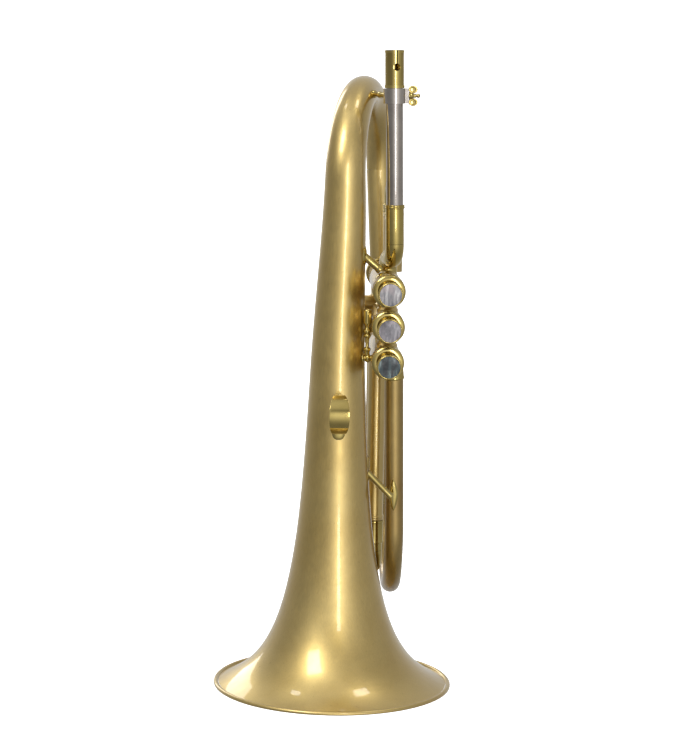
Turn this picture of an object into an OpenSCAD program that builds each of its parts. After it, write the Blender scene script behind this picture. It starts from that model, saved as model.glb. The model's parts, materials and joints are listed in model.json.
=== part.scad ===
// Flugelhorn standing on its bell mouth. Millimetres, +Z up.
// Origin: centre of the bell mouth, on the face it rests on.
// The finger buttons face -Y and the leadpipe stands on the +X side.

/* [Bell] */
// Radius over the rim wire
bell_r = 76.2; // [72:0.1:80]
// Height at which the bell meets the tube of the rear bow
bell_h = 200; // [190:1:205]
// Height at which the rear bow turns over
bow_z = 325; // [320:1:330]
// Depth over which the flare opens out
flare_depth = 17.5; // [16:0.5:19]
// Radius of the rim wire's rounded edge
rim_wire_r = 1.5; // [1.2:0.1:1.8]

/* [Main tubing] */
// Wall of the drawn tubes
tube_wall = 0.6; // [0.5:0.05:0.7]
// Outer radius of the tube from valve 3 to the front bow
branch_r = 6.1; // [5.9:0.05:6.2]
// Distance in Y from the bell axis to the long return leg
return_y = 102; // [100:0.5:106]
// X of the return leg where it meets the rear bow
return_x = 28.2; // [28:0.1:29]
// Radius of the return leg at the rear bow
return_r = 8.3; // [8:0.1:8.6]
// Y of the front leg, which carries valve 3's branch
branch_y = 13; // [12.5:0.5:14]

/* [Leadpipe] */
// Height of the receiver's top edge along the leadpipe
receiver_top = 135.5; // [134:0.5:138]
// Length of the mouthpiece receiver
receiver_len = 23.5; // [22:0.5:24]
// Radius of the bore that takes the mouthpiece shank
shank_r = 4.85; // [4.8:0.01:4.9]
// Lean of the leadpipe towards the bell, in degrees
leadpipe_lean = 1.3; // [0:0.1:1.5]

/* [Valves] */
// X of the three valve axes
valve_x = 30.4; // [30:0.1:30.8]
// Height of valve 2
valve_z = 235; // [234:0.5:236]
// Distance from one valve to the next
valve_pitch = 22.3; // [22:0.1:22.6]
// Y of the top caps' outer face
cap_y = -30; // [-30.5:0.5:-29]
// Length from top cap to bottom cap
valve_len = 118; // [117:0.5:119]
// Outer radius of the valve casings
casing_r = 9.3; // [9.2:0.05:9.4]
// Bore radius of the valve casings
bore_r = 8.45; // [8.4:0.01:8.5]
// Outer radius of the caps
cap_r = 10.25; // [10.1:0.05:10.4]
// Radius of the finger buttons
button_r = 7.8; // [7.4:0.1:8]
// How far a valve is pressed
valve_stroke = 15; // [13:0.5:15]

/* [Valve slides] */
// Outer radius of the fixed slide sleeves
sleeve_r = 5.75; // [5.7:0.05:5.8]
// Distance between the legs of slides 1 and 3
slide_gap = 24; // [23:0.5:25]
// Distance between the legs of slide 2
slide2_gap = 13; // [12.5:0.1:13.5]
// Length of slide 1's sleeves
slide1_len = 36; // [34:1:40]
// Length of slide 3's sleeves
slide3_len = 106; // [104:1:108]

/* [Hidden] */
$fn = 96;

SATIN = [0.80, 0.66, 0.40];
POLISHED = [0.85, 0.75, 0.42];
NICKEL = [0.70, 0.69, 0.66];
PEARL = [0.62, 0.64, 0.68];
FELT = [0.25, 0.22, 0.20];
MONEL = [0.62, 0.60, 0.57];
STEEL = [0.66, 0.67, 0.68];

rest_gap = 0.3;
slip = 0.05;
bell_wall = 0.8;
flare_power = 0.6;
lip_z = flare_depth * (pow(bell_r / (bell_r - 2 * rim_wire_r - 0.1), 1 / flare_power) - 1);
bulge_from = 100;
bulge_rise = 0.8;

// The bell tube drifts a little towards +X on its way up to the bow.
tail_shift = 2.7;
tail_run = bow_z - bell_h;
bow_span = [return_x - tail_shift, return_y];
bow_dir = bow_span / norm(bow_span);
bow_R = norm(bow_span) / 2;
branch_top = [36.6, branch_y, 197];
branch_lean = 1.25;
front_bow_z = 98.5;
front_bow_R = (return_y - branch_y) / 2;
branch_drop = branch_top[2] - front_bow_z;
branch_foot_x = branch_top[0] + branch_drop * tan(branch_lean);
return_foot_x = branch_foot_x + 0.4;
return_foot_r = 6.5;
return_lean = atan((return_foot_x - return_x) / (bow_z - front_bow_z));
return_len = norm([return_foot_x - return_x, bow_z - front_bow_z]);

lead_foot = [34.9, 0, 270];
lead_r = 5.3;
lead_bore_r = 4.3;
lead_sleeve_r = 5.8;
lead_elbow_h = 14.4;
lead_sleeve_h = 38.5;
receiver_foot = receiver_top - receiver_len;
collar_h = 9.3;
collar_r = 7;
screw_h = receiver_foot - collar_h / 2 - rest_gap;
elbow_R = 10;
port_R = 8;
elbow_run = 4;
elbow_turn = 8.8;
elbow_y = elbow_R + elbow_run + port_R;

casing_top = 2.4;
casing_end = valve_len - 2.2;
piston_top = 38;
piston_len = 58;
barrel_top = 8;
barrel_r = 7.9;
barrel_in = 7.1;
guide_depth = 35;
guide_hub_r = 6.6;
spring_r = 5.6;
spring_wire_r = 0.45;
spring_turns = 7;
port_r = 4.6;
knuckle_depths = [46, 84];
spacer_depth = 20;
stem_r = 2.2;
stem_out = 15;
button_h = 3.2;
felt_h = 1.4;
button_neck_r = 3;

brace_y = -7.5;

crook_leg_r = sleeve_r - tube_wall - slip;
slide1_y = 37;
slide1_x = 35.8;
slide1_foot = valve_z + valve_pitch + 6;
slide2_y = 40;
slide2_x = 26;
slide2_end = 8.5;
slide3_y = 34;
slide3_x = 26.6;
slide3_top = valve_z - valve_pitch - 6;
ring_h = 5.5;
ring_r = sleeve_r + 0.55;
slide3_ring_h = 15;
slide3_ring_r = sleeve_r + 0.25;

// Outer radius of the bell at height z: a Bessel flare with a slight fullness higher up.
function bell_radius(z) =
    bell_r * pow(flare_depth / (z + flare_depth), flare_power)
    + bulge_rise * max(0, sin(180 * (z - bulge_from) / (bow_z - bulge_from)));

// X of the bell tube's centre at height z: nothing up to bell_h, then a smooth drift to tail_shift.
function tail_x(z) =
    let (t = max(0, (z - bell_h) / tail_run)) tail_shift * t * t * (3 - 2 * t);

// Heights of the bell outline from the rim wire up, closer together near the mouth.
function bell_heights(steps) = [for (i = [0:steps]) lip_z + (bell_h - lip_z) * pow(i / steps, 2.2)];

// Position and radius of the rear bow at angle a, from the bell (0) to the return leg (180).
function bow_point(a) = [
    tail_shift + bow_dir[0] * bow_R * (1 - cos(a)),
    bow_dir[1] * bow_R * (1 - cos(a)),
    bow_z + bow_R * sin(a)];
function bow_radius(a) = let (start = bell_radius(bow_z)) start + (return_r - start) * a / 180;

// Height of valve n, counted from the leadpipe.
function valve_height(n) = valve_z + (2 - n) * valve_pitch;

// Level ring of points around the bell tube at height z.
function tail_ring(z, r, sides) =
    [for (k = [0:sides - 1])
        [tail_x(z), 0, z] + r * [
            -bow_dir[0] * cos(360 * k / sides) + bow_dir[1] * sin(360 * k / sides),
            -bow_dir[1] * cos(360 * k / sides) - bow_dir[0] * sin(360 * k / sides), 0]];

// Ring of points around the rear bow at angle a.
function bow_ring(a, r, sides) =
    let (p = bow_point(a), out = [-bow_dir[0] * cos(a), -bow_dir[1] * cos(a), sin(a)],
         side = [bow_dir[1], -bow_dir[0], 0])
    [for (k = [0:sides - 1])
        p + r * (out * cos(360 * k / sides) + side * sin(360 * k / sides))];

// Side faces between rings of points, first ring numbered from start.
function strip_faces(start, rings, sides, flip) =
    [for (i = [0:rings - 2], k = [0:sides - 1])
        let (a = start + i * sides + k, b = start + i * sides + (k + 1) % sides,
             face = [a, b, b + sides, a + sides])
        flip ? [face[3], face[2], face[1], face[0]] : face];

// Faces that close the end between an outer and an inner ring of points.
function end_faces(outer, inner, sides, flip) =
    [for (k = [0:sides - 1])
        let (j = (k + 1) % sides, face = [outer + k, inner + k, inner + j, outer + j])
        flip ? [face[3], face[2], face[1], face[0]] : face];

// Straight tube along +Z.
module tube(r, h, wall = tube_wall, r_end = -1) {
    top = r_end < 0 ? r : r_end;
    difference() {
        cylinder(r1 = r, r2 = top, h = h);
        translate([0, 0, -0.01]) cylinder(r1 = r - wall, r2 = top - wall, h = h + 0.02);
    }
}

// Half or quarter ring of tube, starting at the origin towards +Z and bending towards +Y.
module tube_bend(r, R, angle, wall = tube_wall) {
    translate([0, R, 0]) rotate([0, -90, 0]) rotate([0, 0, -90])
        rotate_extrude(angle = angle) translate([R, 0]) difference() {
            circle(r = r);
            circle(r = r - wall);
        }
}

// Moves children to valve n with +Z running from the top cap into the valve.
module at_valve(n) {
    translate([valve_x, cap_y, valve_height(n)]) rotate([-90, 0, 0]) children();
}

// The three valve casings' outsides, used to fit tubes against them.
module casing_block(extra = 0) {
    for (n = [1:3]) at_valve(n) cylinder(r = casing_r + extra, h = valve_len);
}

// Moves children to the foot of the leadpipe with +Z along it.
module along_leadpipe() {
    translate(lead_foot) rotate([0, -leadpipe_lean, 0]) children();
}

// Round rod between two points.
module rod(from, to, r) {
    d = to - from;
    translate(from) rotate([0, acos(d[2] / norm(d)), atan2(d[1], d[0])])
        cylinder(r = r, h = norm(d), $fn = 48);
}

// ---------- Bell and main tubing ----------

module bell() {
    heights = bell_heights(30);
    outer = [for (z = heights) [bell_radius(z), z]];
    inner = [for (i = [len(heights) - 1:-1:0]) [bell_radius(heights[i]) - bell_wall, heights[i] - 0.3]];
    color(SATIN) rotate_extrude() polygon(concat(outer, inner));
}

module bell_rim_wire() {
    color(SATIN) rotate_extrude() difference() {
        translate([bell_r - rim_wire_r, 0.7]) circle(r = rim_wire_r, $fn = 48);
        translate([0, -5]) square([bell_r + 5, 5]);
    }
}

// Upper bell tube and the bow it runs into, drawn as one tapering tube.
module rear_bow() {
    tail_steps = 10;
    bow_steps = 30;
    steps = tail_steps + bow_steps;
    sides = 32;
    rings = steps + 1;
    tail = [for (i = [0:tail_steps - 1]) bell_h + tail_run * i / tail_steps];
    turn = [for (i = [0:bow_steps]) 180 * i / bow_steps];
    outer = concat([for (z = tail) each tail_ring(z, bell_radius(z), sides)],
        [for (a = turn) each bow_ring(a, bow_radius(a), sides)]);
    inner = concat([for (z = tail) each tail_ring(z, bell_radius(z) - bell_wall, sides)],
        [for (a = turn) each bow_ring(a, bow_radius(a) - bell_wall, sides)]);
    faces = concat(
        strip_faces(0, rings, sides, true),
        strip_faces(rings * sides, rings, sides, false),
        end_faces(0, rings * sides, sides, true),
        end_faces(steps * sides, (rings + steps) * sides, sides, false));
    color(SATIN) polyhedron(concat(outer, inner), faces, convexity = 6);
}

module return_leg() {
    color(SATIN) translate([return_foot_x, return_y, front_bow_z]) rotate([0, -return_lean, 0])
        tube(return_foot_r, return_len, r_end = return_r);
}

module front_bow() {
    color(SATIN) translate([branch_foot_x, branch_y, front_bow_z]) mirror([0, 0, 1])
        tube_bend(branch_r, front_bow_R, 180);
}

module front_bow_ferrule() {
    sleeve_h = 10;
    color(POLISHED) translate([return_foot_x, return_y, front_bow_z + 1]) rotate([0, -return_lean, 0])
        difference() {
            cylinder(r = return_foot_r + 0.8, h = sleeve_h);
            translate([0, 0, -1]) cylinder(r = return_foot_r + 0.12, h = sleeve_h + 2);
        }
}

module valve_3_branch() {
    len = norm([branch_foot_x - branch_top[0], branch_drop]);
    color(SATIN) translate([branch_foot_x, branch_y, front_bow_z]) rotate([0, -branch_lean, 0])
        tube(branch_r, len);
}

module valve_3_branch_ferrule() {
    tilt = 6;
    color(POLISHED) difference() {
        translate(branch_top) rotate([0, -tilt, 0]) tube(branch_r + 0.45, 20, tube_wall + 0.4);
        casing_block(0.02);
        translate([0, 0, valve_height(3)]) cube([120, 120, 18], center = true);
    }
}

// ---------- Leadpipe ----------

module mouthpiece_receiver() {
    slot_turn = 12;
    slot_w = 0.9;
    hole_r = 2.3;
    hole_drop = 10.5;
    color(POLISHED) along_leadpipe() translate([0, 0, receiver_foot]) difference() {
        rotate_extrude() difference() {
            union() {
                square([5.9, receiver_len]);
                translate([0, receiver_len - 1.6]) square([6.15, 1.2]);
                square([6.25, 1.8]);
            }
            translate([-1, -1]) square([lead_bore_r + 1, receiver_len + 2]);
        }
        translate([0, 0, 1.6]) cylinder(r = shank_r, h = receiver_len);
        rotate([0, 0, slot_turn]) translate([0, 0, receiver_len - hole_drop]) {
            rotate([90, 0, 0]) cylinder(r = hole_r, h = 12, $fn = 48);
            translate([-slot_w / 2, -12, 0]) cube([slot_w, 12, hole_drop + 2]);
        }
    }
}

module leadpipe() {
    color(NICKEL) along_leadpipe() translate([0, 0, lead_elbow_h + 1])
        tube(lead_r, receiver_foot - lead_elbow_h - 1, lead_r - lead_bore_r);
}

module leadpipe_sleeve() {
    color(POLISHED) along_leadpipe() translate([0, 0, lead_elbow_h]) difference() {
        cylinder(r = lead_sleeve_r, h = lead_sleeve_h - lead_elbow_h);
        translate([0, 0, -1]) cylinder(r = lead_r + slip, h = lead_sleeve_h);
    }
}

module leadpipe_sleeve_ring() {
    color(POLISHED) along_leadpipe() translate([0, 0, lead_sleeve_h - 1.8]) difference() {
        rotate_extrude() polygon([[5, 0], [6.1, 0], [6.3, 0.6], [6.3, 1.6], [6, 2.4], [5, 2.4]]);
        translate([0, 0, -1]) cylinder(r = lead_sleeve_r + 0.02, h = 2.8);
        translate([0, 0, -1]) cylinder(r = lead_r + 0.15, h = 5);
    }
}

// Double bend from the leadpipe sleeve into the side of valve 1.
module leadpipe_elbow() {
    color(POLISHED) difference() {
        translate(lead_foot) rotate([0, -leadpipe_lean, elbow_turn]) translate([0, 0, lead_elbow_h]) {
            mirror([0, 0, 1]) tube_bend(lead_sleeve_r, elbow_R, 90);
            translate([0, elbow_R, -elbow_R]) rotate([-90, 0, 0]) tube(lead_sleeve_r, elbow_run);
            translate([0, elbow_R + elbow_run + port_R, -elbow_R - port_R])
                mirror([0, 1, 0]) tube_bend(lead_sleeve_r, port_R, 90);
        }
        casing_block(0.02);
    }
}

module clamp_collar() {
    lug = [2.8, 5.4, collar_h];
    slot_w = 1;
    color(POLISHED) along_leadpipe() translate([0, 0, receiver_foot - collar_h - rest_gap]) difference() {
        union() {
            cylinder(r = collar_r, h = collar_h);
            translate([collar_r - 1.2, -lug[1] / 2, 0]) cube(lug);
        }
        translate([0, 0, -1]) cylinder(r = lead_r + slip, h = collar_h + 2);
        translate([0, -slot_w / 2, -1]) cube([collar_r + 6, slot_w, collar_h + 2]);
        translate([collar_r - 1, 0, collar_h / 2]) rotate([0, 90, 0]) cylinder(r = 1.35, h = 8, $fn = 48);
    }
}

module wing_screw() {
    hub_x = collar_r + 1.6 + rest_gap;
    hub_len = 2.6;
    tip_x = 14.8;
    wing_r = 2.6;
    color(POLISHED) along_leadpipe() translate([0, 0, screw_h]) {
        translate([lead_r + 1.2, 0, 0]) rotate([0, 90, 0])
            cylinder(r = 1.25, h = tip_x - lead_r - 1.2, $fn = 48);
        translate([hub_x, 0, 0]) rotate([0, 90, 0]) cylinder(r1 = 2.4, r2 = 1.7, h = hub_len, $fn = 48);
        for (side = [-1, 1]) translate([hub_x + wing_r, 0, side * 3.9]) rotate([90, 0, 0])
            translate([0, 0, -0.6]) cylinder(r = wing_r, h = 1.2, $fn = 48);
        translate([tip_x, 0, 0]) sphere(r = 1.35, $fn = 32);
    }
}

module receiver_brace() {
    from = [26.2, 2.5, 377.2];
    to = [16.6, 37.5, 377.2];
    color(POLISHED) difference() {
        union() {
            rod(from, to, 1.6);
            translate(from + 0.30 * (to - from)) sphere(r = 2.3, $fn = 32);
            rod(from + 0.62 * (to - from), to, 2.4);
        }
        along_leadpipe() cylinder(r = collar_r + 0.02, h = 140);
        rod(bow_point(60), bow_point(96), bow_radius(78) - 0.2);
    }
}

// ---------- Braces and hook ----------

module upper_brace() {
    from = [12.5, -3, 279.5];
    to = [27, -3, 267];
    foot_x = tail_x(279);
    color(POLISHED) difference() {
        union() {
            rod(from, to, 2.4);
            translate([0, -9.5, 0]) intersection() {
                translate([valve_x, 0, valve_height(1)]) rotate([-90, 0, 0])
                    cylinder(r = casing_r + 1.1, h = 13);
                translate([valve_x - 12, -1, valve_height(1) - 2]) cube([8.5, 15, 13]);
            }
        }
        casing_block(0.02);
        translate([foot_x, 0, 262]) cylinder(r1 = bell_radius(262), r2 = bell_radius(296), h = 34);
    }
}

// Turned socket that stands on the middle brace and takes a music lyre's stem.
module lyre_socket() {
    at = [18.1, brace_y, valve_height(3) + 1.7];
    color(POLISHED) translate(at) rotate_extrude() polygon([
        [0, 0], [1.7, 0], [1.7, 2.5], [2.3, 3.4], [2.3, 4.6], [1.2, 5.4], [1.2, 11],
        [2.3, 11.9], [2.3, 13.3], [1.5, 14], [2.5, 14.8], [2.5, 16.4], [1.5, 17.3], [1.5, 18.4],
        [2.7, 20.5], [2.7, 28.6], [2.3, 29.2], [1.4, 29.2], [1.4, 21], [0, 21]]);
}

// Turned post between the bell and valve 3, set a little into both.
module middle_brace() {
    z = valve_height(3);
    from = sqrt(pow(bell_radius(z), 2) - brace_y * brace_y) - 0.5;
    len = valve_x - casing_r + 0.3 - from;
    color(POLISHED) translate([from, brace_y, z]) rotate([0, 90, 0]) rotate_extrude() polygon([
        [0, 0], [2.9, 0], [2.9, 1], [1.8, 1.4], [1.8, 1.8],
        for (a = [-50:20:50]) [0.9 + 2 * cos(a), len / 2 + 0.5 + 1.7 * sin(a)],
        [1.8, len - 0.8], [2.2, len - 0.5], [2.2, len], [0, len]]);
}

module lower_brace() {
    from = [17, -1, 141.5];
    to = [36.5, 1, 121.5];
    plate_z = 122.3;
    plate_h = 10.6;
    color(POLISHED) difference() {
        union() {
            rod(from, to, 2);
            translate([37.5, branch_y, plate_z - plate_h]) intersection() {
                cylinder(r = branch_r + 1, h = 2 * plate_h);
                translate([0.3, 0, plate_h]) rotate([90, 0, 0]) linear_extrude(14)
                    polygon([[0, -plate_h], [3, 0], [0, plate_h], [-3, 0]]);
            }
        }
        translate([branch_foot_x, branch_y, front_bow_z]) rotate([0, -branch_lean, 0])
            cylinder(r = branch_r + 0.02, h = 80);
        translate([0, 0, 120]) cylinder(r1 = bell_radius(120), r2 = bell_radius(160), h = 40);
    }
}

module pinky_hook() {
    hook_w = 12.7;
    tall = 1.05;
    hook_R = 10.2;
    band = 1.7;
    centre = [-29.3, 180];
    color(POLISHED) difference() {
        translate([0.6 - hook_w / 2, 0, 0]) rotate([90, 0, 90]) linear_extrude(hook_w)
            translate(centre) scale([1, tall]) {
                difference() {
                    circle(r = hook_R + band);
                    circle(r = hook_R);
                    polygon([[0, 0], [30, 24], [30, -9], [14, -8.2]]);
                }
                translate([4.5, -hook_R - band]) square([8, band]);
            }
        translate([0, 0, 150]) cylinder(r1 = bell_radius(150) + 0.02, r2 = bell_radius(200) + 0.02, h = 50);
    }
}

// ---------- Valves ----------

// Ports of valve n: [Y of the port, turn about the valve's axis], where 90 is up and 180 the bell side.
function ports(n) = concat(
    n < 3 ? [for (d = knuckle_depths) [cap_y + d, -90]] : [[branch_y, -90], [slide3_y, -90], [slide3_y + slide_gap, -90]],
    n > 1 ? [for (d = knuckle_depths) [cap_y + d, 90]] : [[elbow_y, 90], [slide1_y, 90], [slide1_y + slide_gap, 90]],
    n == 2 ? [[slide2_y, 180]] : []);

module valve_casing(n) {
    color(SATIN) at_valve(n) difference() {
        translate([0, 0, casing_top]) cylinder(r = casing_r, h = casing_end - casing_top);
        translate([0, 0, -1]) cylinder(r = bore_r, h = valve_len + 2);
        for (port = ports(n)) translate([0, 0, port[0] - cap_y]) rotate([0, 90, -port[1]])
            cylinder(r = port_r, h = 15, $fn = 48);
        for (side = [-1, 1]) translate([0, side * bore_r, guide_depth - 1.2]) cube([2.4, 0.9, 8], center = true);
    }
}

module top_cap(n) {
    skirt = 12;
    color(POLISHED) at_valve(n) difference() {
        rotate_extrude() polygon([
            [stem_r + 1, 1.4], [button_r - 0.6, 1.4], [button_r + 0.6, 0], [cap_r - 0.8, 0],
            [cap_r, 0.8], [cap_r, 3.4], [cap_r - 0.35, 3.9], [cap_r - 0.35, 5], [cap_r, 5.5],
            [cap_r, skirt - 0.6], [cap_r - 0.5, skirt], [stem_r + 1, skirt]]);
        translate([0, 0, casing_top]) cylinder(r = casing_r + 0.02, h = skirt);
    }
}

module bottom_cap(n) {
    skirt = 10;
    color(POLISHED) at_valve(n) translate([0, 0, valve_len - skirt]) difference() {
        rotate_extrude() polygon([
            [0, 0], [cap_r, 0], [cap_r, skirt - 0.8], [cap_r - 0.8, skirt], [4, skirt],
            [4, skirt + 1], [3, skirt + 1.6], [1.2, skirt + 1.6], [1.2, 2], [0, 2]]);
        translate([0, 0, -1]) cylinder(r = bore_r, h = skirt - 1);
        translate([0, 0, -1]) cylinder(r = casing_r + 0.02, h = casing_end - valve_len + skirt + 1);
        cylinder(r = 1.2, h = skirt + 3, $fn = 48);
    }
}

module piston(n) {
    slot_w = 3;
    color(MONEL) at_valve(n) difference() {
        union() {
            translate([0, 0, piston_top]) cylinder(r = bore_r - slip, h = piston_len);
            translate([0, 0, barrel_top]) cylinder(r = barrel_r, h = piston_top - barrel_top + 1);
        }
        translate([0, 0, barrel_top + 2]) cylinder(r = barrel_in, h = piston_top - barrel_top - 2);
        translate([0, 0, barrel_top - 1]) cylinder(r = stem_r, h = 5);
        translate([-slot_w / 2, -12, guide_depth - valve_stroke - 4])
            cube([slot_w, 24, valve_stroke + 6.5]);
        for (d = [piston_top + 11, piston_top + 29, piston_top + 47])
            translate([0, 0, d]) rotate([0, 90, 60 * n]) cylinder(r = port_r, h = 30, center = true, $fn = 48);
    }
}

// Small star that keeps the piston from turning and carries the spring.
module valve_guide(n) {
    color(SATIN) at_valve(n) translate([0, 0, guide_depth - 2]) difference() {
        union() {
            cylinder(r = guide_hub_r, h = 2);
            translate([-1, -bore_r - 0.3, 0]) cube([2, 2 * bore_r + 0.6, 2]);
        }
        translate([0, 0, -1]) cylinder(r = 2.6, h = 4, $fn = 48);
    }
}

// Points of one wire ring of the spring at turn t.
function spring_ring(t, rise, sides) =
    [for (k = [0:sides - 1])
        let (a = 360 * t, r = spring_r + spring_wire_r * cos(360 * k / sides))
        [r * cos(a), r * sin(a), rise * t + spring_wire_r * sin(360 * k / sides)]];

module valve_spring(n) {
    sides = 6;
    per_turn = 14;
    steps = spring_turns * per_turn;
    length = guide_depth - 2 - barrel_top - 2 - 2 * spring_wire_r - 0.2;
    rise = length / spring_turns;
    points = [for (i = [0:steps]) each spring_ring(i / per_turn, rise, sides)];
    faces = concat(
        strip_faces(0, steps + 1, sides, false),
        [[for (k = [sides - 1:-1:0]) k]],
        [[for (k = [0:sides - 1]) steps * sides + k]]);
    color(STEEL) at_valve(n) translate([0, 0, barrel_top + 2 + spring_wire_r + 0.1])
        polyhedron(points, faces, convexity = 8);
}

module valve_stem(n) {
    head = 3;
    color(POLISHED) at_valve(n) {
        translate([0, 0, -stem_out]) cylinder(r = stem_r - 0.02, h = stem_out + barrel_top + 2);
        translate([0, 0, barrel_top - head]) cylinder(r = 3.6, h = head - 0.02, $fn = 6);
    }
}

module stem_felt(n) {
    color(FELT) at_valve(n) translate([0, 0, -stem_out + 0.02]) difference() {
        cylinder(r = 5.6, h = felt_h);
        translate([0, 0, -1]) cylinder(r = button_neck_r + 0.02, h = felt_h + 2);
    }
}

module finger_button(n) {
    color(POLISHED) at_valve(n) translate([0, 0, -stem_out - button_h]) difference() {
        rotate_extrude() polygon([
            [0, 0], [button_r - 0.7, 0], [button_r, 0.7], [button_r, button_h - 0.6],
            [button_r - 0.6, button_h], [button_neck_r, button_h],
            [button_neck_r, button_h + 2.6], [2.6, button_h + 3.2], [0, button_h + 3.2]]);
        translate([0, 0, -1]) cylinder(r = button_r - 1, h = 2);
        translate([0, 0, button_h]) cylinder(r = stem_r, h = 6);
    }
}

module pearl(n) {
    color(PEARL) at_valve(n) translate([0, 0, -stem_out - button_h + 0.1])
        rotate_extrude() polygon([
            [0, 0.9], [button_r - 1.02, 0.9], [button_r - 1.02, 0.1], [button_r - 2.6, -0.25], [0, -0.4]]);
}

// Short tubes that join one casing to the next: a spacer near the caps and two air passages.
module knuckle(n) {
    color(SATIN) difference() {
        for (d = concat(spacer_depth, knuckle_depths)) translate([valve_x, cap_y + d, valve_height(n + 1)])
            tube(sleeve_r, valve_pitch);
        casing_block(0.02);
    }
}
module knuckle_1_2() { knuckle(1); }
module knuckle_2_3() { knuckle(2); }

// ---------- Valve slides ----------

// Pair of slide sleeves along +Z, spaced gap apart in Y, with a ring at each open end.
module sleeve_pair(gap, len) {
    for (dy = [0, gap]) translate([0, dy, 0]) difference() {
        union() {
            cylinder(r = sleeve_r, h = len);
            translate([0, 0, len - 3]) cylinder(r = sleeve_r + 0.4, h = 3);
        }
        translate([0, 0, -1]) cylinder(r = sleeve_r - tube_wall, h = len + 2);
    }
}

// U-shaped crook whose two legs slide in a pair of sleeves of the same length.
module slide_crook(gap, len, neck, ring = ring_h, rim = ring_r) {
    leg_in = len - 5;
    for (dy = [0, gap]) translate([0, dy, 0]) {
        translate([0, 0, len - leg_in]) tube(crook_leg_r, leg_in + rest_gap);
        translate([0, 0, len + rest_gap]) tube(rim, ring, rim - crook_leg_r + tube_wall);
        translate([0, 0, len + rest_gap + ring]) tube(sleeve_r - 0.2, neck);
    }
    translate([0, 0, len + rest_gap + ring + neck]) tube_bend(sleeve_r - 0.2, gap / 2, 180);
}

module at_slide_1() {
    translate([slide1_x, slide1_y, slide1_foot]) children();
}
module slide_1_sleeves() {
    color(SATIN) difference() {
        at_slide_1() sleeve_pair(slide_gap, slide1_len);
        casing_block(0.02);
    }
}
module slide_1_crook() {
    color(POLISHED) at_slide_1() slide_crook(slide_gap, slide1_len, 2);
}

module at_slide_2() {
    translate([slide2_x, slide2_y, valve_z + slide2_gap / 2]) rotate([-90, 0, 90]) children();
}
module slide_2_sleeves() {
    color(SATIN) difference() {
        at_slide_2() sleeve_pair(slide2_gap, slide2_x - slide2_end);
        casing_block(0.02);
    }
}
module slide_2_crook() {
    color(POLISHED) at_slide_2() slide_crook(slide2_gap, slide2_x - slide2_end, 0.5);
}

module at_slide_3() {
    translate([slide3_x, slide3_y, slide3_top]) mirror([0, 0, 1]) children();
}
module slide_3_sleeves() {
    color(SATIN) difference() {
        at_slide_3() sleeve_pair(slide_gap, slide3_len);
        casing_block(0.02);
    }
}
module slide_3_crook() {
    color(POLISHED) at_slide_3() slide_crook(slide_gap, slide3_len, 5, slide3_ring_h, slide3_ring_r);
}

bell();
bell_rim_wire();
rear_bow();
return_leg();
front_bow();
front_bow_ferrule();
valve_3_branch();
valve_3_branch_ferrule();
mouthpiece_receiver();
leadpipe();
leadpipe_sleeve();
leadpipe_sleeve_ring();
leadpipe_elbow();
clamp_collar();
wing_screw();
receiver_brace();
upper_brace();
middle_brace();
lyre_socket();
lower_brace();
pinky_hook();
knuckle_1_2();
knuckle_2_3();
for (n = [1:3]) {
    valve_casing(n);
    top_cap(n);
    bottom_cap(n);
    valve_guide(n);
    piston(n);
    valve_spring(n);
    valve_stem(n);
    stem_felt(n);
    finger_button(n);
    pearl(n);
}
slide_1_sleeves();
slide_1_crook();
slide_2_sleeves();
slide_2_crook();
slide_3_sleeves();
slide_3_crook();
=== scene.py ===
import json
import math
from collections import namedtuple

import bmesh
import bpy
from mathutils import Matrix, Vector


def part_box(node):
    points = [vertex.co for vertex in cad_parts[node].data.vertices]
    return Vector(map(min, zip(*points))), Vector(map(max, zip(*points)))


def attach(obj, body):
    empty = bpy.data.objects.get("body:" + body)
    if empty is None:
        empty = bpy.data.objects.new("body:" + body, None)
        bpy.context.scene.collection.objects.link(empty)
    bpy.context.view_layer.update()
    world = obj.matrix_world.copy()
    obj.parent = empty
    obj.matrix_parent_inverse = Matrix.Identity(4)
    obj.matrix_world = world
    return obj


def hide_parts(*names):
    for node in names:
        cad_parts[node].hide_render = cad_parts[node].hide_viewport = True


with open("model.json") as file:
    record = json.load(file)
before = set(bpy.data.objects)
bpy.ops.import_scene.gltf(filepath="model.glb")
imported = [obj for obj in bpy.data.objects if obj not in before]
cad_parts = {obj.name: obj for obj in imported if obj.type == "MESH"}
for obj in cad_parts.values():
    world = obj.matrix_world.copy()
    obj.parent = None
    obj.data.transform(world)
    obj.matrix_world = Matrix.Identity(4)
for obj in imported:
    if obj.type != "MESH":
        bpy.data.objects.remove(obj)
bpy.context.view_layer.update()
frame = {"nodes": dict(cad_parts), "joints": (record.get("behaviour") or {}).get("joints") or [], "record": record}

MM = 0.001
TAU = 2 * math.pi
UP = Vector((0, 0, 1))

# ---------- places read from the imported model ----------

JOINTS = {j["name"]: j for j in frame["joints"]}
MOUNTS = {m["name"]: m for m in frame["record"]["mounts"]}
LEAD_AXIS = Vector(JOINTS["leadpipe_tune"]["axis"]).normalized()
LEAD_MOUNT_H = 120 * MM
LEAD_FOOT = Vector(MOUNTS["mouthpiece_receiver"]["pos_m"]) - LEAD_AXIS * LEAD_MOUNT_H
SCREW_AT = Vector(JOINTS["clamp_turn"]["pos_m"])
BELL_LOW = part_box("bell")[0]
VALVES = (1, 2, 3)


def valve_place(n):
    """Matrix with +Z running from valve n's top cap into the valve."""
    low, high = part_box(f"valve_casing_{n}")
    cap_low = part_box(f"top_cap_{n}")[0]
    at = Vector(((low.x + high.x) / 2, cap_low.y, (low.z + high.z) / 2))
    return Matrix.Translation(at) @ Matrix.Rotation(-math.pi / 2, 4, "X")


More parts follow.
